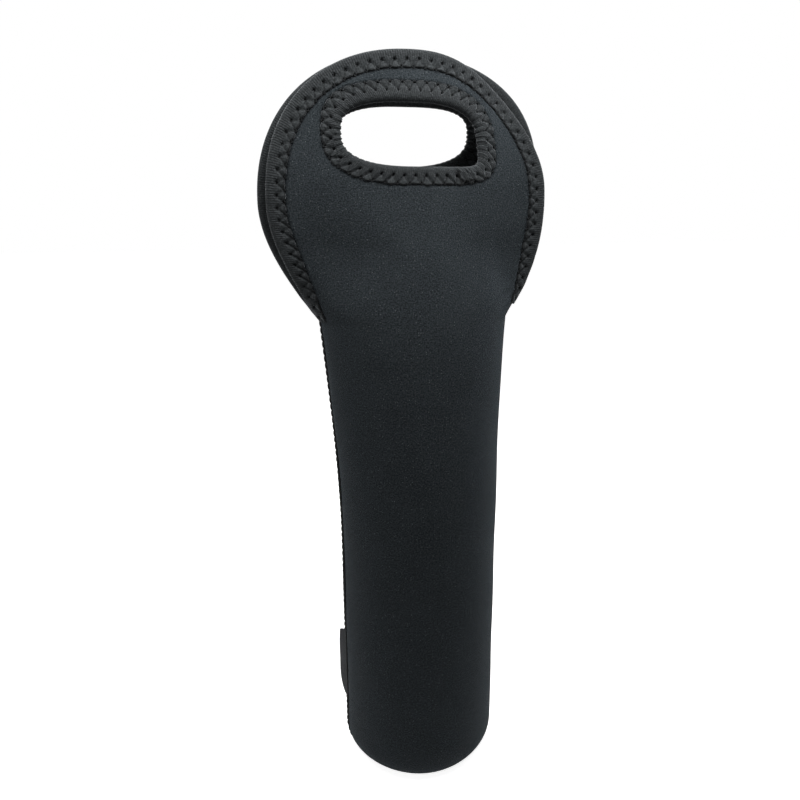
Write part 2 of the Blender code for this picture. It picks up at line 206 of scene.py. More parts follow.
def sleeve_half_depth(z):
    """The girth stays the same, so a wider tube is a shallower one."""
    round_depth = np.sqrt(2 * SLEEVE_RADIUS**2 - tube_half_width(z) ** 2)
    return round_depth - BASE_FRONT_RUN * corner_drop(z, BASE_FRONT_RISE)


FLAT_HALF_WIDTH = pi / 2 * SLEEVE_RADIUS
MOUTH_HALF_WIDTH = float(sleeve_half_width(MOUTH_HEIGHT))
MOUTH_HALF_DEPTH = float(sleeve_half_depth(MOUTH_HEIGHT))
WIDTH_SLOPE = MOUTH_FLARE * FLARE_POWER / (MOUTH_HEIGHT - FLARE_START)
DEPTH_SLOPE = -WIDTH_SLOPE * MOUTH_HALF_WIDTH / MOUTH_HALF_DEPTH


def flat_half_width(panel, z):
    wider = panel.half_width - FLAT_HALF_WIDTH
    return FLAT_HALF_WIDTH + wider * smooth((z - MOUTH_HEIGHT) / LOWER_HEAD)


def outline_half_width(panel, z):
    """The head's outline seen from the front, from the notch at the mouth up to its widest height."""
    notch = arc(MOUTH_HALF_WIDTH / panel.half_width, LOWER_ROUNDNESS)
    share = notch * np.clip((HEAD_WIDEST - z) / LOWER_HEAD, 0, 1)
    return panel.half_width * arc(share, LOWER_ROUNDNESS)


def head_across(panel, q, z):
    rise = (z - MOUTH_HEIGHT) / LOWER_HEAD
    flat = smooth(rise / FLATTENED)
    wide = bridge(MOUTH_HALF_WIDTH, panel.half_width, WIDTH_SLOPE, LOWER_HEAD, rise)
    across = wide * ((1 - flat) * np.sin(pi / 2 * q) + flat * q)
    return across + (outline_half_width(panel, z) - wide) * np.sign(q) * np.abs(q) ** HOLD_POWER


def head_depth(panel, q, z):
    """The sheet bows out over the bottle's neck and comes closer to its twin at the edges."""
    rise = (z - MOUTH_HEIGHT) / LOWER_HEAD
    flat = smooth(rise / FLATTENED)
    hug = LOWER_HEAD + panel.hole_rise
    neck = NECK_RADIUS + WALL / 2
    crown = bridge(MOUTH_HALF_DEPTH, neck, DEPTH_SLOPE, hug, (z - MOUTH_HEIGHT) / hug)
    above_hole = (z - MOUTH_HEIGHT - hug) / (panel.rise - panel.hole_rise)
    crown = crown + (panel.top_crown - neck) * smooth(above_hole)
    edge = panel.edge * (1 - (1 - np.clip(rise, 0, 1)) ** EDGE_POWER)
    edge = edge + (panel.top_edge - panel.edge) * smooth((z - HEAD_WIDEST) / panel.rise)
    round_bow = np.cos(pi / 2 * q)
    bow = (1 - flat) * round_bow + flat * np.maximum(round_bow, 0.0) ** CROWN_POWER
    return edge + (crown - edge) * bow


def sway(panel, z):
    low = SLEEVE_SWAY * smooth((z - SWAY_START) / (MOUTH_HEIGHT - SWAY_START))
    return low + panel.sway * smooth((z - MOUTH_HEIGHT) / LOWER_HEAD)


def cloth_point(panel, q, z):
    """The middle of the cloth, as an array whose last axis is x, y, z."""
    q, z = np.broadcast_arrays(np.asarray(q, float), np.asarray(z, float))
    above = (z - HEAD_WIDEST) / panel.rise
    corner = smooth(q) * smooth((above - CORNER_SHARE) / (1 - CORNER_SHARE))
    low = z <= MOUTH_HEIGHT
    sleeve_z, head_z = np.minimum(z, MOUTH_HEIGHT), np.maximum(z, MOUTH_HEIGHT)
    head_x = head_across(panel, q, head_z) - panel.corner_pull * corner
    head_y = head_depth(panel, q, head_z) - panel.corner_lean * corner
    x = np.where(low, sleeve_half_width(sleeve_z) * np.sin(pi / 2 * q), head_x)
    y = np.where(low, sleeve_half_depth(sleeve_z) * np.cos(pi / 2 * q), head_y)
    return xyz(x - sway(panel, z), panel.side * y, z)


def unit(vectors):
    return vectors / np.maximum(np.linalg.norm(vectors, axis=-1, keepdims=True), 1e-12)


def run_along(points):
    """How far each point lies from the first one, along their line."""
    return np.concatenate([[0.0], np.cumsum(np.linalg.norm(np.diff(points, axis=0), axis=1))])


def cloth_normal(panel, q, z):
    """The direction out of the carrier."""
    share = 0.002  # of the cut, between the points that are compared
    step = share * SLEEVE_RADIUS
    across = cloth_point(panel, q + share, z) - cloth_point(panel, q - share, z)
    up = cloth_point(panel, q, z + step) - cloth_point(panel, q, z - step)
    return unit(np.cross(across, up)) * -panel.side


print("mouth:", round(MOUTH_HALF_WIDTH * 2000), "x", round(MOUTH_HALF_DEPTH * 2000), "mm")

# %% [markdown]
# Two helpers make every mesh of the carrier. One turns rows of points into faces. The other gives the mesh a
# named attribute with each vertex's place on the flat cut, in millimetres along and across, and a third
# number that the finishes use for painted shade, and on the label for a painted highlight. A knit or a rib
# drawn from that attribute keeps its size and stays on its thread when the cloth bends.

# %% Mesh helpers
def make_mesh(name, points, faces, places, material):
    mesh = bpy.data.meshes.new(name)
    mesh.from_pydata(np.asarray(points).reshape(-1, 3).tolist(), [], faces)
    layer = mesh.attributes.new("cut_place", "FLOAT_VECTOR", "POINT")
    layer.data.foreach_set("vector", (np.asarray(places) * 1000).astype(np.float32).ravel())
    mesh.materials.append(material)
    mesh.shade_smooth()
    mesh.validate()
    print(name, len(mesh.polygons), "faces")
    return add_object(name, mesh)


def grid_faces(rows, columns, close_rows=False, close_columns=False):
    """Quads between neighbouring rows of a grid of vertices that is stored row by row."""
    faces = []
    for i in range(rows if close_rows else rows - 1):
        below, above = i * columns, (i + 1) % rows * columns
        for j in range(columns if close_columns else columns - 1):
            k = (j + 1) % columns
            faces.append((below + j, below + k, above + k, above + j))
    return faces


# %% [markdown]
# A material is easier to read as a formula than as a web of nodes. `Value` wraps one output of a node, and
# Python's own operators on it add Math nodes, so `1 - mask * 0.5` reads as it looks. `Finish` holds a
# material and adds any other node with one method.

# %% Shader helpers
class Value:
    """One output of a node that arithmetic can be done on."""

    def __init__(self, finish, socket):
        self.finish = finish
        self.socket = socket

    def math(self, operation, *values):
        return self.finish.node("ShaderNodeMath", {"operation": operation}, dict(enumerate(values)))

    def __abs__(self):
        return self.math("ABSOLUTE", self)

    def sine(self):
        return self.math("SINE", self)

    def ramp(self, low, high):
        """0 up to low, 1 from high, and smooth between them."""
        settings = {"interpolation_type": "SMOOTHSTEP"}
        return self.finish.node("ShaderNodeMapRange", settings, {0: self, 1: low, 2: high})


# value - 1 calls __sub__, and 1 - value calls its reflected form, __rsub__
for name, operation in {"add": "ADD", "sub": "SUBTRACT", "mul": "MULTIPLY", "pow": "POWER"}.items():
    setattr(Value, f"__{name}__", lambda self, other, kind=operation: self.math(kind, self, other))
    setattr(Value, f"__r{name}__", lambda self, other, kind=operation: self.math(kind, other, self))


class Nodes:
    """A tree of nodes, and a way to add one and feed it."""

    def __init__(self, tree):
        self.tree = tree

    def node(self, kind, settings, inputs, output=0):
        made = self.tree.nodes.new(kind)
        for name, value in settings.items():
            setattr(made, name, value)
        for key, value in inputs.items():
            self.feed(made.inputs[key], value)
        return Value(self, made.outputs[output])

    def feed(self, socket, value):
        if isinstance(value, Value):
            self.tree.links.new(value.socket, socket)
        else:
            socket.default_value = value

    def seen(self):
        """1 where the camera, a mirror or a glass looks straight at it, and 0 where it lights something."""
        kinds = ("Camera", "Glossy", "Transmission")
        rays = [self.node("ShaderNodeLightPath", {}, {}, f"Is {kind} Ray") for kind in kinds]
        return rays[0].math("MINIMUM", rays[0] + rays[1] + rays[2], 1.0)


class Finish(Nodes):
    """A material with a Principled shader."""

    def __init__(self, name):
        self.material = bpy.data.materials.new(name)
        self.material.use_nodes = True
        super().__init__(self.material.node_tree)
        self.shader = self.tree.nodes["Principled BSDF"]

    def place(self):
        """The vertex's place on the flat cut, in millimetres, and then its three numbers one by one."""
        place = self.node("ShaderNodeAttribute", {"attribute_name": "cut_place"}, {}, "Vector")
        return place, *self.split(place)

    def split(self, vector):
        return [self.node("ShaderNodeSeparateXYZ", {}, {0: vector}, i) for i in range(3)]

    def noise(self, vector, scale, detail):
        """A soft random field from 0 to 1. scale is in features to a millimetre."""
        return self.node("ShaderNodeTexNoise", {}, {"Vector": vector, "Scale": scale, "Detail": detail})

    def mix(self, factor, a, b, blend="MIX"):
        """Colour a where factor is 0, and b where it is 1."""
        a, b = [(*colour, 1.0) if isinstance(colour, tuple) else colour for colour in (a, b)]
        settings = {"data_type": "RGBA", "blend_type": blend}
        return self.node("ShaderNodeMix", settings, {0: factor, 6: a, 7: b}, 2)

    def darken(self, factor, colour, shade):
        """colour where factor is 0, and colour times shade where it is 1."""
        return self.mix(factor, colour, (shade, shade, shade), "MULTIPLY")

    def bump(self, height, distance, below=None):
        inputs = {"Height": height, "Distance": distance, "Strength": 1.0}
        if below is not None:
            inputs["Normal"] = below
        return self.node("ShaderNodeBump", {}, inputs)

    def set(self, values):
        for name, value in values.items():
            self.feed(self.shader.inputs[name], value)


# %% [markdown]
# The carrier's cloth is neoprene foam with a black polyester jersey bonded to both faces. From arm's length
# the jersey is an even, matt blue-black. Close up it is a knit of half a millimetre, uneven in tone, with
# pale specks where single fibres catch the light, and a little nap that lightens it where it turns away. The
# knit is a sum of two waves, along and across the cut, and its hollows get a painted shade. The specks are
# painted glints that sit in some of the cells of a Voronoi pattern. Beside the tape the cloth gets a painted
# shadow.

# %% Neoprene jersey
JERSEY_DARK = (0.0074, 0.0098, 0.0114)
JERSEY_LIGHT = (0.0285, 0.0338, 0.0375)
# the colour of the painted glints of single fibres
JERSEY_SPECK = (0.1, 0.11, 0.115)
WALE = 0.5  # millimetres from one column of loops to the next
COURSE = 0.38  # and from row to row
SPECK_CELL = 0.85  # millimetres
SPECK_SHARE = 0.4  # of the cells hold a speck
# how dark the painted shade in the hollows between the knit's loops is
LOOP_SHADE = 0.4
# how dark the painted shadow on the cloth along the tape's edge is
TAPE_SHADE = 0.15  # beside the tape
LOOP_HEIGHT = 0.00012
NAP_HEIGHT = 0.0004

jersey = Finish("Neoprene jersey")
place, along, up, hidden = jersey.place()
lean = (along * (tau / WALE)).sine() * 0.11
wales = abs((along * (pi / WALE)).sine())
courses = abs(((up + lean) * (pi / COURSE)).sine())
loops = wales * 0.6 + courses * 0.4
mottle = jersey.noise(place, 0.05, 3.0)
grain = jersey.noise(place, 1.5, 3.0)
cells = {"Vector": place, "Scale": 1 / SPECK_CELL}
near = jersey.node("ShaderNodeTexVoronoi", {}, cells, "Distance")
chance = jersey.split(jersey.node("ShaderNodeTexVoronoi", {}, cells, "Color"))[0]
# the specks are painted glints
specks = (1 - near.ramp(0.08, 0.3)) * chance.ramp(1 - SPECK_SHARE, 1.0)
tone = mottle * 0.6 + grain * 3.6 - 1.6
colour = jersey.mix(tone, JERSEY_DARK, JERSEY_LIGHT)
colour = jersey.mix(specks, colour, JERSEY_SPECK)
# painted shade in the hollows between the loops
colour = jersey.darken((1 - loops) * 0.5, colour, LOOP_SHADE)
# painted shadow along the tape's edge
colour = jersey.darken(hidden, colour, TAPE_SHADE)
nap = jersey.bump(grain, NAP_HEIGHT)
jersey.set({
    "Base Color": colour,
    "Roughness": 0.72 + mottle * 0.2,
    "Normal": jersey.bump(loops, LOOP_HEIGHT, nap),
    "Specular IOR Level": 0.05,
    "Sheen Weight": 0.1,
    "Sheen Roughness": 0.35,
    "Sheen Tint": (0.75, 0.88, 1.0, 1.0),
})

# %% [markdown]
# The rims are bound in a stretch tape with fine ribs that run round the edge of the cloth, from face to
# face. They are spaced along the tape's length, which is the first number of its `cut_place`. The grooves
# between the ribs get a painted shade, and so do the needle holes, the line under the thread and the
# tape's rolled edge, from the third number.

# %% Stretch tape
TAPE_DARK = (0.0095, 0.0112, 0.012)
TAPE_LIGHT = (0.0262, 0.0288, 0.0302)
RIB = 0.95  # millimetres from one rib to the next
KNOT = 0.5  # and from one row of loops to the next
# how dark the painted shade in the grooves between the ribs is
RIB_SHADE = 0.2
# how dark the painted shade in the needle holes, under the thread and at the tape's edge is
CREASE_SHADE = 0.12
RIB_HEIGHT = 0.0002

tape_knit = Finish("Stretch tape")
place, along, out, crease = tape_knit.place()
ribs = abs((along * (pi / RIB)).sine())
knots = abs((out * (pi / KNOT)).sine())
ribs = 1 - (1 - ribs) * (1 - abs(out).ramp(3.5, 6.0) * 0.7)
weave = ribs * 0.75 + knots * 0.25
mottle = tape_knit.noise(place, 0.25, 3.0)
grain = tape_knit.noise(place, 1.2, 4.0)
colour = tape_knit.mix(mottle * 0.5 + grain * 3.2 - 1.4, TAPE_DARK, TAPE_LIGHT)
# painted shade in the grooves between the ribs
colour = tape_knit.darken((1 - ribs) ** 1.5, colour, RIB_SHADE)
# painted shade in the needle holes, under the thread, at the edge and along the lap's step
colour = tape_knit.darken(crease, colour, CREASE_SHADE)
tape_knit.set({
    "Base Color": colour,
    "Roughness": 0.66 + mottle * 0.2,
    "Normal": tape_knit.bump(weave, RIB_HEIGHT, tape_knit.bump(grain, NAP_HEIGHT)),
    "Specular IOR Level": 0.08,
    "Sheen Weight": 0.2,
    "Sheen Roughness": 0.4,
    "Sheen Tint": (0.85, 0.9, 0.95, 1.0),
})

# %% [markdown]
# The thread is a twisted polyester. Its twist is a diagonal wave over the length and the turn round the
# thread, which the thread's meshes hold in `cut_place` as millimetres along and as an angle in turns.

# %% Sewing thread
THREAD_DARK = (0.003, 0.0034, 0.0037)
THREAD_LIGHT = (0.01, 0.011, 0.0115)
TWIST = 0.7  # millimetres
STRAND_HEIGHT = 0.00006

thread_yarn = Finish("Sewing thread")
_, along, round_it, _ = thread_yarn.place()
strands = abs((along * (pi / TWIST) + round_it * pi).sine())
thread_yarn.set({
    "Base Color": thread_yarn.mix(strands, THREAD_DARK, THREAD_LIGHT),
    "Roughness": 0.62 - strands * 0.15,
    "Normal": thread_yarn.bump(strands, STRAND_HEIGHT),
    "Specular IOR Level": 0.05,
})

# %% [markdown]
# The label is a folded satin ribbon. Satin floats its threads over several others, so it has fine lines
# along its length and a soft gloss. Its fold gets a painted highlight. It carries nothing.

# %% Satin label
SATIN_DARK = (0.011, 0.012, 0.0135)
SATIN_LIGHT = (0.028, 0.03, 0.0335)
# the colour of the painted highlight on the ribbon's fold
SATIN_FOLD_HIGHLIGHT = (0.085, 0.088, 0.1)  # the threads are spread and catch the light where the ribbon is folded
FLOAT = 0.28  # millimetres from one thread to the next
FLOAT_HEIGHT = 0.00005

satin = Finish("Satin label")
place, _, up, fold = satin.place()
floats = abs((up * (pi / FLOAT)).sine())
ties = satin.noise(place, 2.5, 2.0)
colour = satin.mix(floats * 0.6 + ties * 0.4, SATIN_DARK, SATIN_LIGHT)
# painted highlight on the fold
colour = satin.mix(fold, colour, SATIN_FOLD_HIGHLIGHT)
satin.set({
    "Base Color": colour,
    "Roughness": 0.46 + ties * 0.16,
    "Normal": satin.bump(floats * 0.7 + ties * 0.3, FLOAT_HEIGHT),
    "Specular IOR Level": 0.04,
})

# %% [markdown]
# Each panel is one sheet from the seam under the base to the rim of its head. We lay a fine grid over the
# cut. Its columns keep their share of the width at every height, and close in under the round top. The
# squares inside the hand hole are left out. The tape covers the rough edges that this leaves.
#
# Soft foam doesn't stay as true as the map. A small relief is added along the normal: it dips beside the
# seam, is pressed thinner under the tape, and has the shallow dents that hands have left.

# %% Panels
COLUMN = 0.0011
WALL_ROW = 0.0028
HEAD_ROW = 0.0011
DOME_SHARE = 0.97  # of the round top has rows, and the tape covers the rest
DOME_CROWDING = 1.25  # how much closer the rows lie there
RIM_COVER = 0.0024  # how far the cloth stays inside the tape's fold
FLOOR_ROWS = 7
CORNER_ROWS = 16
SEAM_DIP = 0.0006
SEAM_DIP_REACH = 0.0028
TAPE_WIDTH = {"head": 0.0083, "hole": 0.0079}
TAPE_BED = 0.0012  # how much thinner each face of the cloth is under the tape
TAPE_SPREAD = 0.4  # how much wider the head's tape lies at its ends, as a share of its width
TAPE_SPREAD_LENGTH = 0.03
TAPE_END_LENGTH = 0.003  # in which the cloth thins into the start of the head's tape
BED_INSIDE = 0.0012  # how far under the tape's edge the cloth is at its thinnest
BED_LENGTH = 0.002
# The painted shadow on the cloth along the tape's edge: where it is darkest, how far it fades out, and how it
# fades in at the tape's start
SHADE_INSIDE = 0.0002  # how far under the tape's edge its shade is darkest
SHADE_LENGTH = 0.0016
SHADE_END_LENGTH = 0.0008


def tape_spread(z):
    return 1 + TAPE_SPREAD * (1 - smooth((z - MOUTH_HEIGHT) / TAPE_SPREAD_LENGTH))


HOLE_LIMITS = (-HOLE_HALF_HEIGHT * 0.95, 0.2)  # of the distance that is looked for
HOLE_TRIES = 24


def hole_centre(panel):
    return HEAD_WIDEST + panel.hole_rise


def hole_power(panel, across, up, sharper):
    """How square the hole's corner is here. The low right one, seen from outside, is the squarest."""
    right = -across * panel.side > 0
    low = np.where(right, HOLE_CORNER_ROUNDNESS + sharper, HOLE_ROUNDNESS)
    return np.where(up < 0, low, np.where(right, HOLE_ROUNDNESS, HOLE_HIGH_CORNER))


def hole_edge_distance(panel, q, z):
    """About how far a point of the cut is from the hand hole's clear edge, negative inside it.

    The hole's edge is moved out or in until it meets the point, each time by half of what is left.
    """
    up = z - hole_centre(panel)
    power = hole_power(panel, q, up, 0)
    across, up = np.abs(q) * panel.half_width, np.abs(up)
    low, high = [np.full(q.shape, limit) for limit in HOLE_LIMITS]
    for _ in range(HOLE_TRIES):
        inset = (low + high) / 2
        reach = (across / (HOLE_HALF_WIDTH + inset)) ** power + (up / (HOLE_HALF_HEIGHT + inset)) ** power
        low, high = np.where(reach > 1, inset, low), np.where(reach > 1, high, inset)
    return (low + high) / 2


def rim_distance(panel, q, z):
    """About how far a point of the head is from its rim, less where the tape is spread."""
    beside = (1 - np.abs(q)) * flat_half_width(panel, z) / tape_spread(z)
    up = np.maximum(z - HEAD_WIDEST, 0.0)
    power = panel.roundness
    reach = (np.abs(q) ** power + (up / panel.rise) ** power) ** (1 / power)
    return np.where(z > HEAD_WIDEST, (1 - reach) * panel.rise, beside)


# Each dent's place across the cut and height, its half size across and up, and its depth
DENTS = {
    "front": (
        (-0.62, 0.272, 0.16, 0.02, 0.0011),
        (0.66, 0.262, 0.12, 0.016, 0.0007),
        (0.2, 0.232, 0.3, 0.012, -0.0004),
        (-0.3, 0.2, 0.35, 0.03, 0.0004),
    ),
    "back": (
        (0.55, 0.27, 0.2, 0.018, 0.001),
        (-0.5, 0.255, 0.18, 0.014, 0.0008),
        (0.1, 0.21, 0.4, 0.02, 0.0005),
    ),
}
WAVE_HEIGHT = 0.00025
WAVE_START = 0.03  # above the floor, where the base is flat
WAVE_GROWTH = 0.04


def dents(panel, q, z):
    """The shallow, uneven relief that handling leaves in the foam."""
    relief = 0
    for across, height, wide, tall, depth in DENTS[panel.name]:
        relief = relief - depth * np.exp(-(((q - across) / wide) ** 2) - ((z - height) / tall) ** 2)
    wave = np.sin(q * 5.1 + z * 61) * np.sin(q * 2.3 - z * 43 + panel.side)
    return relief + WAVE_HEIGHT * wave * smooth((z - WAVE_START) / WAVE_GROWTH)


def on_cloth(panel, q, z, height=0):
    """A point this far out from the middle of the dented cloth."""
    return cloth_point(panel, q, z) + cloth_normal(panel, q, z) * (dents(panel, q, z) + height)[..., None]


def cloth_surface(panel, q, z):
    """(middle of the cloth, half thickness, painted shadow beside the tape)"""
    near_seam = (z < MOUTH_HEIGHT) * bell((1 - np.abs(q)) * FLAT_HALF_WIDTH / SEAM_DIP_REACH)
    above = z > MOUTH_HEIGHT
    rim = np.where(above, rim_distance(panel, q, z), 1.0)
    hole = np.where(above, hole_edge_distance(panel, q, z), 1.0)
    beyond = np.minimum(rim - TAPE_WIDTH["head"], hole - TAPE_WIDTH["hole"])
    covered = 1 - smooth((beyond + BED_INSIDE) / BED_LENGTH)
    above_end = z - MOUTH_HEIGHT - np.where(q < 0, *panel.tape_ends)
    half = WALL / 2 - SEAM_DIP * near_seam - TAPE_BED * covered * smooth(above_end / TAPE_END_LENGTH)
    # painted shadow along the tape's edge
    shade = (1 - smooth((beyond + SHADE_INSIDE) / SHADE_LENGTH)) * smooth(above_end / SHADE_END_LENGTH + 1)
    return on_cloth(panel, q, z), half, shade


def panel_rows(panel):
    """Heights of the grid's rows, and how far each reaches left and right, as shares of the cut."""
    corner_top = BASE_FRONT_RISE + WALL / 2
    bend = corner_top - BASE_FRONT_RISE * np.sin(np.linspace(pi / 2, 0, CORNER_ROWS, endpoint=False))
    wall_rows = round((MOUTH_HEIGHT - corner_top) / WALL_ROW)
    wall = np.linspace(corner_top, MOUTH_HEIGHT, wall_rows, endpoint=False)
    climb = np.linspace(MOUTH_HEIGHT, HEAD_WIDEST, round(LOWER_HEAD / HEAD_ROW), endpoint=False)
    rise, power = panel.rise - RIM_COVER, panel.roundness
    turns = np.linspace(0, pi / 2 * DOME_SHARE, round(panel.rise / HEAD_ROW * DOME_CROWDING))
    dome = HEAD_WIDEST + rise * np.sin(turns) ** (2 / power)
    heights = np.concatenate([bend, wall, climb, dome])
    round_off = arc((heights - HEAD_WIDEST) / rise, power)
    reaches = []
    for end in panel.tape_ends:
        tuck = RIM_COVER * smooth((heights - MOUTH_HEIGHT - end) / TAPE_END_LENGTH)
        reaches.append((1 - tuck / flat_half_width(panel, heights)) * round_off)
    return heights, reaches


def add_panel(panel):
    heights, (left, right) = panel_rows(panel)
    columns = 2 * round(FLAT_HALF_WIDTH / COLUMN) + 1
    q = np.linspace(-1, 1, columns)[None, :]
    q = q * np.where(q < 0, left[:, None], right[:, None])
    z = np.repeat(heights[:, None], columns, axis=1)
    middle, half, hidden = cloth_surface(panel, q, z)

    # The flat base, from the seam out to the corner
    floor = np.repeat(middle[:1], FLOOR_ROWS, axis=0)
    floor[..., 1] *= np.linspace(0, 1, FLOOR_ROWS, endpoint=False)[:, None]
    floor_half = WALL / 2 - SEAM_DIP * bell(floor[..., 1] / SEAM_DIP_REACH)
    middle = np.concatenate([floor, middle])
    normal = np.concatenate([np.broadcast_to((0.0, 0.0, -1.0), floor.shape), cloth_normal(panel, q, z)])
    thick = normal * np.concatenate([floor_half, half])[..., None]

    # Place on the cut: across it, and along its middle line from the base seam
    base_rows = ((FLOOR_ROWS, 0), (0, 0))
    across = np.pad(q, base_rows, "edge") * flat_half_width(panel, middle[..., 2])
    run = run_along(middle[:, columns // 2])
    # the third number is the painted shadow beside the tape
    places = xyz(across, run[:, None], np.pad(hidden, base_rows) / 1000)

    clear = (hole_edge_distance(panel, q, z) < RIM_COVER) & (z > HEAD_WIDEST)
    faces = np.array(grid_faces(len(middle), columns))
    faces = faces[~np.pad(clear, base_rows).ravel()[faces].any(axis=1)]
    faces = faces if panel.side < 0 else faces[:, ::-1]
    return sheet_of_cloth(f"{panel.name}_neoprene", middle + thick, middle - thick, faces, places)


def sheet_of_cloth(name, outer, inner, faces, places):
    """Both faces of the cloth and the edge between them."""
    count = outer.size // 3
    edges = dict.fromkeys(edge for face in faces.tolist() for edge in zip(face, face[1:] + face[:1]))
    rim = [(b, a, a + count, b + count) for a, b in edges if (b, a) not in edges]
    both = faces.tolist() + (faces[:, ::-1] + count).tolist() + rim
    return make_mesh(name, [outer, inner], both, [places, places], jersey.material)


panels = {panel.name: add_panel(panel) for panel in (FRONT, BACK)}

# %% [markdown]
# The tape is a strip of knit folded over the raw rim. A zigzag stitch holds it, and pulls it down hard at
# each needle hole, so the tape puffs up between the threads and its inner edge bulges into little lobes.
# That pucker is the most telling detail of the carrier, so it is modelled, not painted.
#
# We walk round the rim in even steps of length. At each step the tape's section runs from its edge on the
# outer face, round the fold and back on the inner face. The height of a point above the cloth comes from its
# distance to the zigzag line and to the nearest needle hole.

# %% Rim lines
DENSE_STATIONS = 4000


def rounded(angle, power):
    """The point at this angle on a square of half size 1, whose corners are rounder the lower the power."""
    cos, sin = np.cos(angle), np.sin(angle)
    reach = (np.abs(cos) ** power + np.abs(sin) ** power) ** (-1 / power)
    return reach * cos, reach * sin


def head_rim_place(panel, turn, inset):
    """(q, z) beside the head's rim, for turns 0 to 1 up the left, 1 to 2 over the top and 2 to 3 down."""
    left = turn < 1.5
    start = MOUTH_HEIGHT + np.where(left, *panel.tape_ends)
    climb = np.where(left, turn, 3 - turn)
    side_z = start + (HEAD_WIDEST - start) * np.clip(climb, 0, 1)
    side_q = 1 - inset * tape_spread(side_z) / flat_half_width(panel, side_z)
    across, up = rounded(pi * (2 - np.clip(turn, 1, 2)), panel.roundness)
    over = (turn > 1) & (turn < 2)
    q = np.where(over, across * (1 - inset / panel.half_width), np.where(left, -side_q, side_q))
    return q, np.where(over, HEAD_WIDEST + up * (panel.rise - inset), side_z)


def hole_rim_place(panel, turn, inset):
    """(q, z) beside the hand hole. turn runs from 0 to 1, from the middle of its right end up and round."""
    angle = tau * turn
    sharper = HOLE_CORNER_SHARPER * np.clip(1 - inset / TAPE_WIDTH["hole"], 0, 1)
    across, up = rounded(angle, hole_power(panel, np.cos(angle), np.sin(angle), sharper))
    q = across * (HOLE_HALF_WIDTH + inset) / panel.half_width
    return q, hole_centre(panel) + up * (HOLE_HALF_HEIGHT + inset)


RIM_PLACE = {"head": head_rim_place, "hole": hole_rim_place}
RIM_TURNS = {"head": 3.0, "hole": 1.0}


def even_turns(panel, rim):
    """Turns at even steps of the rim, their lengths from its start, and the pitch for whole stitches."""
    pitch = STITCH_PITCH[rim]
    dense = np.linspace(0, RIM_TURNS[rim], DENSE_STATIONS + 1)
    run = run_along(cloth_point(panel, *RIM_PLACE[rim](panel, dense, STITCH_LINE[rim][1])))
    stitch_count = round(run[-1] / pitch)
    lengths = np.linspace(0, run[-1], stitch_count * round(pitch / TAPE_STEP[rim]) + 1)
    return np.interp(lengths, run, dense), lengths, run[-1] / stitch_count


# %% The pucker of the tape
TAPE_THICKNESS = 0.00055
TAPE_SINK = 0.0006  # how deep the stitches press the tape's underside into the foam
TAPE_ROOT = 0.0002
TAPE_PUFF = 0.0008  # how much the tape rises between the threads
PUFF_REACH = 0.0008
PIT_DEPTH = 0.0013
PIT_RADIUS = 0.0005
# The tape's painted shade: round each needle hole, under the thread and along its rolled edge
SHADE_RADIUS = 0.00065  # of the dark round each needle hole
LINE_SHADE = 0.35  # how dark it is under the thread
LINE_SHADE_REACH = 0.00034
EDGE_SHADE_REACH = 0.0006
CREASE = 0.00013  # height of the small folds that run out from each needle hole
CREASES = 7
CREASE_REACH = 0.0008
EDGE_ROLL = 0.0007
FOLD_REACH = 0.0023
FOLD_PRESS = 0.2  # share of the puff that is pressed out towards the fold
FOLD_PRESS_LENGTH = 0.0016
GATHER = 0.00024
GATHER_LENGTH = 0.0015
STITCH_LINE = {"head": (0.0046, 0.008), "hole": (0.0042, 0.0077)}  # outer and inner row of needle holes
STITCH_PITCH = {"head": 0.0051, "hole": 0.0053}
LOBE = {"head": 0.0004, "hole": 0.0006}  # how far the edge bulges between the inner needle holes
NOTCH = {"head": 0.0006, "hole": 0.0007}  # and is drawn in at each one


def stitches(lengths, insets, pitch, rows):
    """Distance to the zigzag line, and distance and direction from the nearest needle hole."""
    near, far = rows
    beside = ((lengths / pitch + 0.5) % 1 - 0.5) * pitch
    along = np.abs(beside)
    dx, dy = pitch / 2, near - far
    share = np.clip((along * dx + (insets - far) * dy) / (dx * dx + dy * dy), 0, 1)
    line = np.hypot(along - share * dx, insets - far - share * dy)
    inner, outer = np.hypot(along, insets - far), np.hypot(along - dx, insets - near)
    inner_turn = np.arctan2(insets - far, beside)
    outer_turn = np.arctan2(insets - near, np.sign(beside) * (along - dx))
    return line, np.minimum(inner, outer), np.where(inner < outer, inner_turn, outer_turn)


def tape_width(lengths, pitch, rim):
    """The tape's edge swells between the inner needle holes and is drawn in at each one.

    The waves' numbers here and below need only be unlike, so that no two stitches look the same.
    """
    along = np.abs((lengths / pitch + 0.5) % 1 - 0.5) * 2
    uneven = 1 + 0.3 * np.sin(lengths * 611) * np.sin(lengths * 173)
    swell = (LOBE[rim] + NOTCH[rim]) * uneven * np.sin(along * pi / 2) ** 0.7
    return TAPE_WIDTH[rim] - NOTCH[rim] + swell


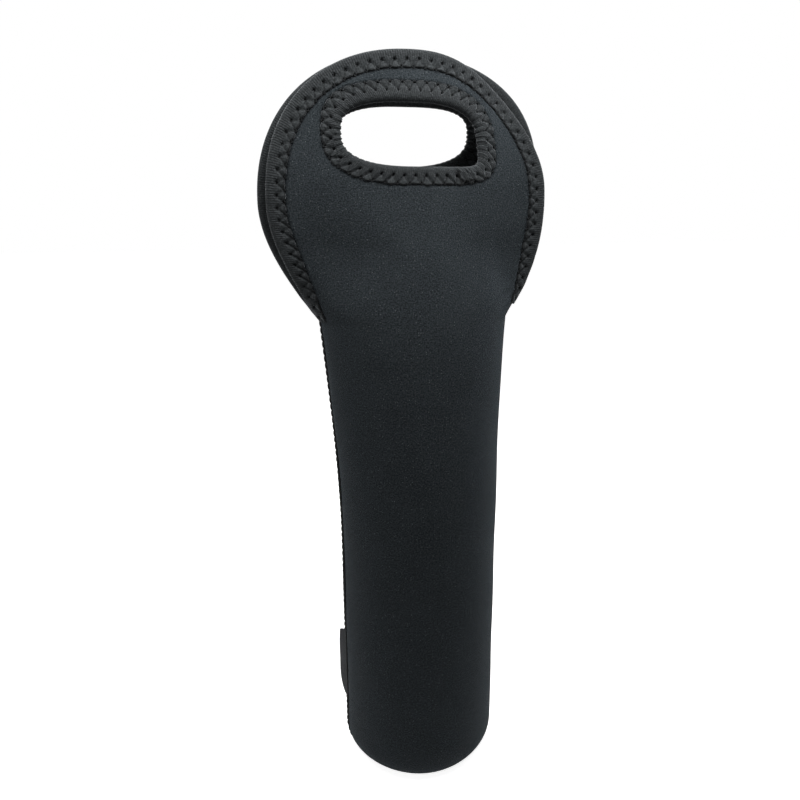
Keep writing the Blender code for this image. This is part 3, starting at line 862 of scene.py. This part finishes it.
def tape_face(lengths, insets, edge, pitch, rim, cover=0):
    """Height of the tape's face above the middle of the cloth, and its painted shade, 0 to 1."""
    line, pit, turn = stitches(lengths, insets, pitch, STITCH_LINE[rim])
    uneven = 1 + 0.25 * np.sin(lengths * 431 + 1) * np.sin(lengths * 257)
    puff = TAPE_PUFF * uneven * (1 - bell(line / PUFF_REACH))
    puff = puff * (1 - FOLD_PRESS * smooth((STITCH_LINE[rim][0] - insets) / FOLD_PRESS_LENGTH))
    wrinkle = LAP_WRINKLE * np.sin(lengths * 2300 + 2 * np.sin(insets * 1500))
    wrinkle = wrinkle * np.sin(insets * 1900 + lengths * 700)
    puff = puff * (1 - cover) + (LAP_HEIGHT + wrinkle) * cover
    creases = CREASE * np.cos(CREASES * turn + lengths * 900) * bell(pit / CREASE_REACH - 1)
    pits = PIT_DEPTH * bell(pit / PIT_RADIUS) * (1 - cover)
    roll = arc(1 - (edge - insets) / EDGE_ROLL)
    height = WALL / 2 - TAPE_SINK - TAPE_ROOT + (TAPE_THICKNESS + TAPE_ROOT + puff + creases - pits) * roll
    # painted shade in the needle holes, under the thread and at the rolled edge
    dark = np.maximum(bell(pit / SHADE_RADIUS), LINE_SHADE * bell(line / LINE_SHADE_REACH)) * (1 - cover)
    return height, np.maximum(dark, bell((edge - insets) / EDGE_SHADE_REACH))


def gathers(rim, turns, lengths, insets):
    """Ripples over the fold where a tight bend crowds the tape, at the ends of the hand hole."""
    if rim == "head":
        return 0 * lengths * insets
    ends = np.abs(np.cos(tau * turns)) ** 3
    slow = np.sin(lengths * 1700 + np.sin(lengths * 300) + 250 * insets)
    return GATHER * ends * (slow + 0.6 * np.sin(lengths * 3900 + 3 * np.sin(insets * 900)))


# %% [markdown]
# The tape round the hand hole is one loop. Its two ends overlap for about 10 mm below the hole, near the
# corner on the carrier's right, and the top one is folded under on a slant. That makes a second layer there.

# %% Lap of the hole's tape
LAP_LENGTH = 0.0075
LAP_SHARE = 0.84  # of the way round the hole, where the upper layer ends
LAP_SLANT = 0.15
LAP_REACH = 0.0066  # how far in from the clear edge the upper layer lies open
LAP_HEIGHT = 0.0012
LAP_WRINKLE = 0.0004
LAP_STEP = 0.0004  # in which the upper layer rises at its end
LAP_SIDE_STEP = 0.0006
LAP_FADE = 0.003
# The painted shade along the upper layer's step, at its end and at its side
LAP_SHADE_REACH = 0.0008
LAP_SIDE_SHADE_REACH = 0.0007


def lap(rim, total, lengths, insets):
    """How far the second layer covers the outer face, and the painted shade along its steps, both 0 to 1."""
    if rim == "head":
        return 0 * insets, 0 * insets
    first = lengths - total * LAP_SHARE + LAP_SLANT * insets
    open_part = 1 - smooth((insets - LAP_REACH) / LAP_SIDE_STEP)
    length = smooth(first / LAP_STEP) * (1 - smooth((first - LAP_LENGTH) / LAP_FADE))
    sides = bell(first / LAP_SHADE_REACH) + length * bell((insets - LAP_REACH) / LAP_SIDE_SHADE_REACH)
    return length * open_part, np.minimum(sides, 1)


# %% [markdown]
# The tape's section starts at the edge on the outer face, runs out to the fold, round it and back along the
# inner face. A hidden return inside closes the section, so that the tape is a solid.

# %% Tapes
SECTION_EDGE = np.array([0.0, 0.0001, 0.00025, 0.0005, 0.0008, 0.0012])
SECTION_STEPS = 14
FOLD_STEPS = 9
TAPE_STEP = {"head": 0.0006, "hole": 0.00045}
HIDDEN_INSET = 0.003


def add_tape(panel, rim, turns, lengths, pitch):
    total, closed = lengths[-1], rim == "hole"
    if closed:
        turns, lengths = turns[:-1], lengths[:-1]
    turns, lengths = turns[:, None], lengths[:, None]
    edge = tape_width(lengths, pitch, rim)
    rest = FOLD_REACH + (edge - SECTION_EDGE[-1] - FOLD_REACH) * np.linspace(1, 0, SECTION_STEPS)[1:]
    arm = np.hstack([edge - SECTION_EDGE, rest])
    ripple = gathers(rim, turns, lengths, arm)
    gathered = ripple * smooth((STITCH_LINE[rim][0] - arm) / GATHER_LENGTH)
    cover, step_dark = lap(rim, total, lengths, arm)
    outer, dark = tape_face(lengths, arm, edge, pitch, rim, cover)
    inner, _ = tape_face(lengths, arm, edge, pitch, rim)
    outer, inner = outer + gathered, inner + gathered
    # the lap's painted shade is added to the rest
    dark = np.minimum(dark + step_dark, 1)

    # Round the fold
    turn = np.linspace(0, pi, FOLD_STEPS + 2)[1:-1]
    fold = FOLD_REACH * (1 - np.sin(turn)) - ripple[:, -1:] * np.sin(turn)
    fold_height = np.where(np.cos(turn) > 0, outer[:, -1:], inner[:, -1:]) * np.cos(turn)

    # Back inside the tape
    hidden = np.hstack([edge, 0 * edge + HIDDEN_INSET])
    slot = 0 * hidden + WALL / 2 - TAPE_SINK - TAPE_ROOT
    insets = np.hstack([arm, fold, arm[:, ::-1], hidden, hidden[:, ::-1]])
    heights = np.hstack([outer, fold_height, -inner[:, ::-1], -slot, slot])
    dark = np.hstack([dark, 0 * fold, dark[:, ::-1], 1 + 0 * slot, 1 + 0 * slot])

    inset = np.maximum(insets, 0.0)
    q, z = RIM_PLACE[rim](panel, turns, inset)
    inward = cloth_point(panel, *RIM_PLACE[rim](panel, turns, inset + TAPE_THICKNESS))
    inward = unit(inward - cloth_point(panel, q, z))
    points = on_cloth(panel, q, z, heights) + inward * np.minimum(insets, 0.0)[..., None]
    places = xyz(lengths, np.where(heights > 0, insets, -insets), dark / 1000)
    count, section = heights.shape
    faces = grid_faces(count, section, close_rows=closed, close_columns=True)
    if not closed:
        faces += [tuple(range(section))[::-1], tuple((count - 1) * section + i for i in range(section))]
    if panel.side > 0:
        faces = [face[::-1] for face in faces]
    return make_mesh(f"{panel.name}_{rim}_tape", points, faces, places, tape_knit.material)


tapes = {}
rims = {}
for panel in (FRONT, BACK):
    for rim in RIM_PLACE:
        key = (panel.name, rim)
        rims[key] = even_turns(panel, rim)
        tapes[key] = add_tape(panel, rim, *rims[key])
        print("stitch:", round(rims[key][2] * 1000, 2), "mm")

# %% [markdown]
# The thread itself lies in the creases that it has pulled. One thread shows on each face. It is a thin tube
# along the zigzag, half sunk in the crease, and it goes down into the cloth at each needle hole.

# %% Thread tubes
THREAD_RADIUS = 0.00018
THREAD_TIP = 0.0007  # how far the thread reaches past the tape's edge, onto the cloth
THREAD_SIDES = 6
STITCH_POINTS = 7
NEEDLE_SHARE = 0.3  # of half a stitch, in which the thread goes down to a needle hole
THREAD_DIVE = 0.8  # as a share of the hole's depth
THREAD_SWELL = 1.2  # how much thicker the loop on the cloth is


def tube(points, radius):
    """(vertices, faces, places) of a round tube along a line of points, with closed ends."""
    ahead = unit(np.gradient(points, axis=0))
    guide = np.array([0.0, 1.0, 0.0]) if abs(ahead[:, 1]).mean() < 0.8 else np.array([0.0, 0.0, 1.0])
    sideways = unit(np.cross(ahead, guide))
    upward = np.cross(sideways, ahead)
    angles = np.arange(THREAD_SIDES)[:, None] * tau / THREAD_SIDES
    ring = np.cos(angles) * sideways[:, None] + np.sin(angles) * upward[:, None]
    places = xyz(run_along(points)[:, None], angles.T / tau / 1000, 0)
    faces = grid_faces(len(points), THREAD_SIDES, close_columns=True)
    last = (len(points) - 1) * THREAD_SIDES
    faces += [tuple(range(THREAD_SIDES))[::-1], tuple(last + i for i in range(THREAD_SIDES))]
    return (points[:, None] + ring * radius).reshape(-1, 3), faces, places.reshape(-1, 3)


def join_tubes(name, tubes):
    points, faces, places = [], [], []
    for tube_points, tube_faces, tube_places in tubes:
        faces += [tuple(i + len(points) for i in face) for face in tube_faces]
        points += tube_points.tolist()
        places += tube_places.tolist()
    return make_mesh(name, points, faces, places, thread_yarn.material)


def zigzag_line(panel, rim, face):
    """Points of the thread on one face of the cloth, which is 1 for the outer face and -1 for the inner."""
    turns, lengths, pitch = rims[panel.name, rim]
    near, far = STITCH_LINE[rim]
    total = lengths[-1]
    run = np.linspace(0, total, round(total / pitch) * 2 * STITCH_POINTS + 1)
    along = np.abs((run / pitch + 0.5) % 1 - 0.5) * 2
    inset = far + THREAD_TIP - (far + THREAD_TIP - near) * along
    dive = PIT_DEPTH * THREAD_DIVE * smooth((along - 1 + NEEDLE_SHARE) / NEEDLE_SHARE)
    height = WALL / 2 - TAPE_SINK + TAPE_THICKNESS - dive
    q, z = RIM_PLACE[rim](panel, np.interp(run, lengths, turns), inset)
    swell = 1 + THREAD_SWELL * smooth((NEEDLE_SHARE - along) / NEEDLE_SHARE)
    return on_cloth(panel, q, z, face * height), THREAD_RADIUS * swell[:, None, None]


threads = {}
for panel in (FRONT, BACK):
    for rim in RIM_PLACE:
        lines = [tube(*zigzag_line(panel, rim, face)) for face in (1, -1)]
        threads[panel.name, rim] = join_tubes(f"{panel.name}_{rim}_thread", lines)

# %% [markdown]
# The panels are joined edge to edge by a flatlock seam, which lies flat like a small ladder: straight rows
# of needle thread with a looper thread that crosses between them. It runs from the left notch under the base
# to the right notch.

# %% Flat seam
SEAM_PITCH = 0.0035
SEAM_ROWS = (-0.0024, 0.0, 0.0024)
SEAM_LIFT = 0.0001
SEAM_THREAD_RADIUS = 0.00026
SEAM_END = 0.001
SEAM_STEP = 0.001
NEEDLE_BOW = 0.00045  # how far each stitch of needle thread bows up from its ends
NEEDLE_SUNK = 0.00015
NEEDLE_POINTS = 8
LOOPER_REACH = 0.0025
LOOPER_FLAT = 1.25  # above 1, the looper thread runs straight for a while at each side
LOOPER_LIFT = 0.0001
LOOPER_RADIUS = 0.00022
LOOPER_POINTS = 12
SIDE_POINTS, CORNER_POINTS, BASE_POINTS = 160, 30, 40


def at_lengths(lengths, run, rows):
    """Rows of vectors, each at its length of run, read off at other lengths."""
    return np.stack([np.interp(lengths, run, rows[:, i]) for i in range(3)], axis=-1)


# The seam's line, halfway through the cloth, and the direction out of the carrier
corner_top = BASE_SIDE_RADIUS + WALL / 2
wall = np.linspace(MOUTH_HEIGHT - SEAM_END, corner_top, SIDE_POINTS)
bend = corner_top - BASE_SIDE_RADIUS * np.sin(np.linspace(0, pi / 2, CORNER_POINTS)[1:])
heights = np.concatenate([wall, bend])
half, middle = sleeve_half_width(heights), -sway(FRONT, heights)
left, right = xyz(middle - half, 0, heights), xyz(middle + half, 0, heights)[::-1]
line = np.concatenate([left, np.linspace(left[-1], right[0], BASE_POINTS)[1:-1], right])
run = run_along(line)
seam_run = np.linspace(0, run[-1], round(run[-1] / SEAM_STEP) + 1)
seam_middle = at_lengths(seam_run, run, line)
ahead = unit(np.gradient(seam_middle, axis=0))
seam_out = xyz(ahead[:, 2], 0, -ahead[:, 0])


def on_seam(lengths, beside, rise):
    """Points at these lengths of the seam, this far beside it and this high above the cloth's face."""
    height = WALL / 2 - SEAM_DIP + SEAM_LIFT + SEAM_DIP * (1 - bell(beside / SEAM_DIP_REACH)) + rise
    away = unit(at_lengths(lengths, seam_run, seam_out))
    bow = beside**2 / (2 * SLEEVE_RADIUS) * np.abs(away[:, 0])
    points = at_lengths(lengths, seam_run, seam_middle) + away * (height - bow)[:, None]
    points[:, 1] += beside
    points[:, 2] = np.maximum(points[:, 2], SEAM_THREAD_RADIUS)
    return points


# %% Needle and looper thread
count = int(seam_run[-1] / SEAM_PITCH)
lines = []
for row in SEAM_ROWS:
    lengths = np.linspace(0, count * SEAM_PITCH, count * NEEDLE_POINTS + 1)
    rise = NEEDLE_BOW * np.abs(np.sin(lengths / SEAM_PITCH * pi)) ** 0.6 - NEEDLE_SUNK
    lines.append(tube(on_seam(lengths, np.full(len(lengths), row), rise), SEAM_THREAD_RADIUS))
for offset in (0.0, 0.5):
    lengths = np.linspace(0, count * SEAM_PITCH, count * LOOPER_POINTS + 1)
    phase = (lengths / SEAM_PITCH + offset) * tau
    beside = LOOPER_REACH * np.clip(LOOPER_FLAT * np.sin(phase), -1, 1)
    lines.append(tube(on_seam(lengths, beside, LOOPER_LIFT), LOOPER_RADIUS))
seam_thread = join_tubes("seam_thread", lines)

# %% [markdown]
# The label is one ribbon folded in half, with both ends caught in the seam. Its fold is a soft loop and not
# a crease, and its lower end is drawn in where the seam holds it.

# %% Label
label_low, label_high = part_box("side_label")
LABEL_SINK = 0.0012  # how far its root lies below the cloth's face, in the seam
LABEL_ROOT = -(SLEEVE_RADIUS + WALL / 2 - LABEL_SINK)
LABEL_LOWER = 0.004  # how much further down the drawn-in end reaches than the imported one
LABEL_BOTTOM = label_low.z - LABEL_LOWER
LABEL_LENGTH = label_high.z - LABEL_BOTTOM
LABEL_REACH = 0.0075
LABEL_TAPER = 0.024
LABEL_CORNER = 0.0016
LABEL_LOOP = 0.00042  # half of the folded ribbon's thickness
LABEL_LEAN = 0.5  # how far it stands out for each length that it reaches back
LABEL_CURL = 9.0
LABEL_DROOP = 0.002
LABEL_NARROWER = 0.2  # at the top, as a share of its reach
LABEL_LOW_REACH = 0.1  # at the drawn-in end, as a share of its reach
LABEL_FOLD = 0.08  # the share of its reach that the fold's loop takes
LABEL_FOLD_SHEEN = 0.14  # and the share that catches the light
LABEL_CLOSING = 0.35  # how much closer its two layers lie at the fold
LABEL_WAVE = 0.0003
LABEL_CLOTH = 0.00025
LABEL_ROWS = 56
LABEL_COLUMNS = 15
LOOP_COLUMNS = 7
print("label:", [round(v * 1000, 1) for v in (*label_low, *label_high)])

# %% The ribbon's shape
height = np.linspace(0, 1, LABEL_ROWS)[:, None] * LABEL_LENGTH
reach = LABEL_REACH * (LABEL_LOW_REACH + (1 - LABEL_LOW_REACH) * arc(1 - height / LABEL_TAPER))
reach = reach * (1 - LABEL_NARROWER * smooth(height / LABEL_LENGTH * 2 - 1))
reach = reach - LABEL_CORNER * (1 - arc(1 - (LABEL_LENGTH - height) / LABEL_CORNER))
layer = np.linspace(0, 1 - LABEL_FOLD, LABEL_COLUMNS)
loop = np.linspace(0, pi, LOOP_COLUMNS + 2)[1:-1]
out = np.concatenate([layer, 1 - LABEL_FOLD * (1 - np.sin(loop)), layer[::-1]])
face = np.concatenate([np.full(LABEL_COLUMNS, 1.0), np.cos(loop), np.full(LABEL_COLUMNS, -1.0)])
y = reach * out
wave = LABEL_WAVE * np.sin(height / LABEL_LENGTH * 9) * (y / LABEL_REACH) ** 2
lean = LABEL_LEAN * y - LABEL_CURL * y**2 + wave
x = LABEL_ROOT - LABEL_LOOP - lean - LABEL_LOOP * face * (1 - LABEL_CLOSING * out)
z = LABEL_BOTTOM + height - LABEL_DROOP * out * smooth(height / LABEL_LENGTH)
# the third number is the painted highlight on the fold
places = xyz(y, height, smooth((out - 1 + LABEL_FOLD_SHEEN) / 0.1) / 1000)
faces = grid_faces(LABEL_ROWS, len(out))
side_ribbon = make_mesh("side_ribbon", xyz(x, y, z), faces, places, satin.material)
thick = side_ribbon.modifiers.new("ribbon", "SOLIDIFY")
thick.thickness = LABEL_CLOTH
thick.offset = 0.0

# %% [markdown]
# Each piece now takes the place of the CAD pieces that it stands for, which are hidden, and the seam's thread
# and the label also move with their bodies. Cloth, tape and thread of a head reach from the sleeve into the
# head, where the real foam gives way over the first centimetres above the mouth.

# %% Hide the CAD pieces and attach the rest
BEND_LENGTH = 0.055
DOME_FILL = 0.82  # share of its box that the head's round top fills
BASE_FILL = 0.6375  # and that the half of the base does
HOLE_FILL = 0.85
bend_end = (0.0, 0.0, MOUTH_HEIGHT + BEND_LENGTH)


def bends(piece, name, slot, *nodes):
    """A piece that reaches from the sleeve into a head."""
    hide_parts(*nodes)
    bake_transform(piece)


def cut_area(panel):
    """The flat area of one panel: a straight strip, its head and half of the round base, less the hole."""
    sleeve = 2 * FLAT_HALF_WIDTH * (MOUTH_HEIGHT - BASE_FRONT_RISE)
    head = (2 * FLAT_HALF_WIDTH + 2 * panel.half_width) / 2 * LOWER_HEAD
    dome = DOME_FILL * 2 * panel.half_width * panel.rise
    base = BASE_FILL * 2 * FLAT_HALF_WIDTH * (SLEEVE_RADIUS + BASE_FRONT_RISE / 2)
    return sleeve + head + dome + base - HOLE_FILL * 4 * HOLE_HALF_WIDTH * HOLE_HALF_HEIGHT


for panel in (FRONT, BACK):
    name = panel.name
    bends(panels[name], name, "neoprene", f"{name}_sleeve_panel", f"{name}_handle_panel")
    for rim in RIM_PLACE:
        bends(tapes[name, rim], name, "stretch_tape", f"{name}_{rim}_binding")
        bends(threads[name, rim], name, "sewing_thread", f"{name}_{rim}_stitching")
    flat = (2 * panel.half_width, MOUTH_HEIGHT + LOWER_HEAD + panel.rise + SLEEVE_RADIUS)
    cut_area(panel)
    print(name, "cut:", [round(side * 1000) for side in flat], "mm,", round(cut_area(panel) * 1e4), "cm2")

for piece, body, slot, node in (
    (seam_thread, "sleeve", "sewing_thread", "seam_stitching"),
    (side_ribbon, "label", "satin_label", "side_label"),
):
    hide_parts(node)
    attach(piece, body)

# %% [markdown]
# The stage is a pale floor and a white surround. Black cloth shows little but the light that falls on it, so
# the lamps are placed for the soft fall-off of the photograph: a round lamp close above the front of the
# head makes the top the brightest part, two weaker ones beside it open the shade of the rims, and large,
# faint ones from the sides and the back keep the rest readable. The surround and the floor are lifted to
# white only for rays that look straight at them, so they light the black cloth little.

# %% Stage and light
FLOOR_SIZE = 8.0
FLOOR_GLOW = 0.9
FLOOR_DROP = 0.0002  # below the base
WORLD_LIGHT = 0.1
WHITE = (1.0, 1.0, 1.0, 1.0)

floor_mesh = bpy.data.meshes.new("floor")
far = FLOOR_SIZE / 2
corners = [(-far, -far, 0), (far, -far, 0), (far, far, 0), (-far, far, 0)]
floor_mesh.from_pydata(corners, [], [(0, 1, 2, 3)])
floor = add_object("floor", floor_mesh)
floor.location.z = -FLOOR_DROP

pale = Finish("Pale floor")
pale.set({"Base Color": (0.86, 0.86, 0.86, 1.0), "Roughness": 0.9, "Specular IOR Level": 0.1})
glow = pale.node("ShaderNodeEmission", {}, {"Color": WHITE, "Strength": pale.seen() * FLOOR_GLOW})
both = pale.node("ShaderNodeAddShader", {}, {0: Value(pale, pale.shader.outputs[0]), 1: glow})
output = pale.tree.nodes["Material Output"]
pale.feed(output.inputs["Surface"], both)
floor_mesh.materials.append(pale.material)

world = bpy.data.worlds.new("surround")
world.use_nodes = True
bpy.context.scene.world = world
surround = Nodes(world.node_tree)
background = surround.tree.nodes["Background"]
surround.feed(background.inputs["Color"], WHITE)
surround.feed(background.inputs["Strength"], WORLD_LIGHT + surround.seen() * (1 - WORLD_LIGHT))


def add_light(name, place, aim, size, power):
    """A round lamp at a place, aimed at another, with its size in metres and its power in watts."""
    data = bpy.data.lights.new(name, "AREA")
    data.shape = "DISK"
    data.size = size
    data.energy = power
    light = add_object(name, data)
    light.location = place
    look_along(light, Vector(aim) - Vector(place))


add_light("top_light", (0.0, -0.12, 0.50), (0.0, -0.01, 0.35), 0.14, 1.25)
add_light("near_left_light", (-0.22, -0.06, 0.44), (-0.03, 0.0, 0.32), 0.14, 0.32)
add_light("near_right_light", (0.16, -0.14, 0.46), (0.03, -0.01, 0.32), 0.14, 0.27)
add_light("left_light", (-0.9, -0.3, 0.5), (0.0, 0.0, 0.2), 0.7, 0.5)
add_light("right_light", (0.9, -0.2, 0.45), (0.0, 0.0, 0.2), 0.7, 0.08)
add_light("back_light", (0.1, 0.6, 0.8), (0.0, 0.0, 0.3), 0.5, 3.2)
add_light("near_back_light", (-0.08, 0.4, 0.42), (0.0, 0.0, 0.2), 0.25, 0.9)
bpy.context.scene.view_settings.view_transform = "Standard"
